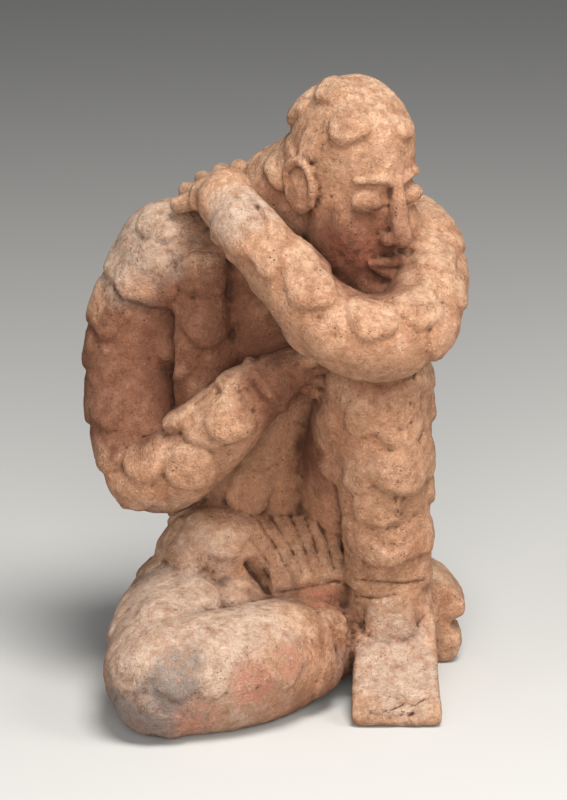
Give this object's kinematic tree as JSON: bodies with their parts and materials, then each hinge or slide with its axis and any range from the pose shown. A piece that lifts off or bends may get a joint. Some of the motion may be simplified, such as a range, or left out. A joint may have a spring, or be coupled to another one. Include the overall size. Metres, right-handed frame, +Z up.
{
  "type": "terracotta seated figure",
  "caption": "Fired-clay figure seated with one knee raised, arms wrapped around itself, head resting on the arm, skin covered in flat round pellets of clay.",
  "frame": {"origin": "middle of the figure's bounding box in plan, at the height of the ground it sits on", "axes": "+Z up, -Y the way the raised foot points, +X the figure's left"},
  "size_m": [0.1714, 0.1748, 0.279],
  "materials": {
    "terracotta": "matt, weathered and pitted"
  },
  "bodies": {
    "root": {"figure": "terracotta"}
  },
  "joints": []
}
